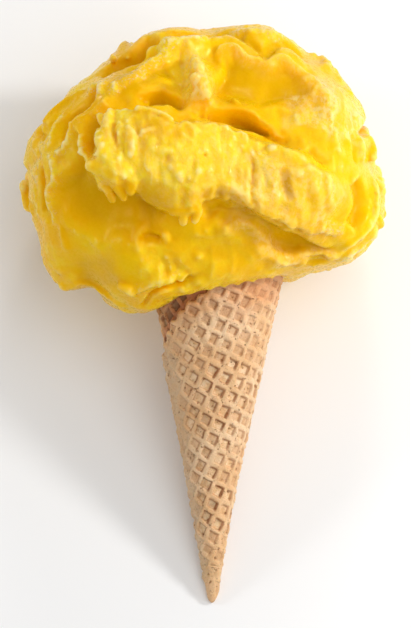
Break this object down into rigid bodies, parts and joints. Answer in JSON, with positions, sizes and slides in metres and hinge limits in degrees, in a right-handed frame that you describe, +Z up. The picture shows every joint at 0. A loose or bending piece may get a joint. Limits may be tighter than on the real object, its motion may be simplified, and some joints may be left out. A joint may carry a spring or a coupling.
{
  "type": "gelato cone",
  "caption": "A tall mound of folded gelato, spread in layers with a spatula, in a rolled waffle cone that tapers to a blunt tip, lying on its back.",
  "frame": {"origin": "middle of the small flat on the gelato's back that it rests on", "axes": "+Z up from the ground, the pictured front of the gelato; +Y along the ground from the cone's tip to the gelato; +X to the right as seen from above with the gelato at the top"},
  "size_m": [0.1153, 0.1791, 0.0936],
  "materials": {
    "gelato": "smooth dense yellow gelato, wet gloss in the spatula strokes, torn and icy along the folds",
    "wafer": "dry baked wafer with a waffle-iron grid, browner in the recesses and near the gelato"
  },
  "bodies": {
    "root": {"gelato": "gelato", "waffle_cone": "wafer"}
  },
  "joints": []
}
